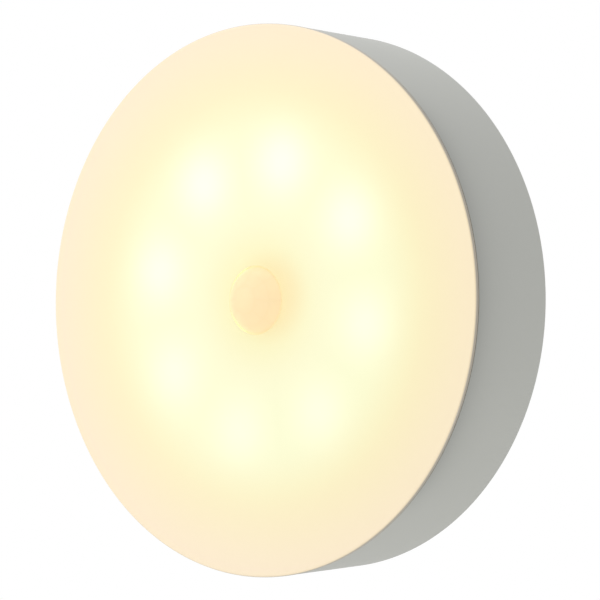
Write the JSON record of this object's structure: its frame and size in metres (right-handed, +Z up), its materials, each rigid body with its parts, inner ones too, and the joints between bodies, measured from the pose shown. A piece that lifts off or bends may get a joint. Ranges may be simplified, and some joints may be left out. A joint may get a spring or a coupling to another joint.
{
  "type": "motion sensor night light",
  "caption": "Round battery night light with a glowing opal face over a ring of LEDs, a small domed motion sensor, a magnetic back, a mode switch and a charging socket.",
  "frame": {"origin": "centre of the flat back face, where it rests on the wall", "axes": "+Y out of the back into the wall, so the glowing face looks along -Y; +X to the right of a person who faces the lamp; +Z up"},
  "size_m": [0.08, 0.0206, 0.08],
  "materials": {
    "housing_plastic": "fine satin moulded light grey plastic",
    "opal_diffuser": "opal light-spreading plastic, satin, lit warm from behind",
    "lens_plastic": "milky heat-passing lens plastic, semi-gloss",
    "white_plastic": "white moulded plastic",
    "magnet_nickel": "bright nickel plate",
    "board_white": "white solder mask on circuit board",
    "led_package": "white reflector plastic",
    "led_phosphor": "yellow phosphor in clear silicone",
    "steel": "plated steel sheet",
    "sensor_window": "dark heat-passing filter",
    "ceramic": "pale ceramic",
    "chip_black": "black moulding compound",
    "cell_foil": "silver laminated foil",
    "guard_board": "green circuit board",
    "foam_tape": "dark grey foam tape",
    "lead_red": "red wire insulation",
    "lead_black": "black wire insulation"
  },
  "bodies": {
    "lamp": {"battery_cell": "cell_foil", "battery_guard_board": "guard_board", "battery_lead_black": "lead_black", "battery_lead_red": "lead_red", "battery_plug": "white_plastic", "battery_socket": "white_plastic", "battery_tape": "foam_tape", "board_screw_1": "steel", "board_screw_2": "steel", "board_screw_3": "steel", "capacitor_base": "chip_black", "capacitor_can": "steel", "charge_chip": "chip_black", "charging_socket_shell": "steel", "charging_socket_tongue": "chip_black", "chip_resistor_1": "ceramic", "chip_resistor_2": "ceramic", "chip_resistor_3": "ceramic", "chip_resistor_4": "ceramic", "control_chip": "chip_black", "daylight_sensor": "sensor_window", "front_diffuser": "opal_diffuser", "led_board": "board_white", "led_package_1": "led_package", "led_package_2": "led_package", "led_package_3": "led_package", "led_package_4": "led_package", "led_package_5": "led_package", "led_package_6": "led_package", "led_package_7": "led_package", "led_package_8": "led_package", "led_phosphor_1": "led_phosphor", "led_phosphor_2": "led_phosphor", "led_phosphor_3": "led_phosphor", "led_phosphor_4": "led_phosphor", "led_phosphor_5": "led_phosphor", "led_phosphor_6": "led_phosphor", "led_phosphor_7": "led_phosphor", "led_phosphor_8": "led_phosphor", "led_transistor": "chip_black", "magnet_disc": "magnet_nickel", "rear_housing": "housing_plastic", "sensor_can": "steel", "sensor_element": "ceramic", "sensor_header": "steel", "sensor_lens": "lens_plastic", "sensor_shroud": "white_plastic", "sensor_window": "sensor_window", "switch_base": "chip_black", "switch_cover": "steel"},
    "mode_slider": {"switch_knob": "white_plastic", "switch_slider": "chip_black", "switch_wiper": "steel"}
  },
  "joints": [
    {"name": "mode_switch_slide", "type": "slide", "parent": "lamp", "child": "mode_slider", "axis": [1, 0, 0], "range_m": [0, 0.004]}
  ]
}
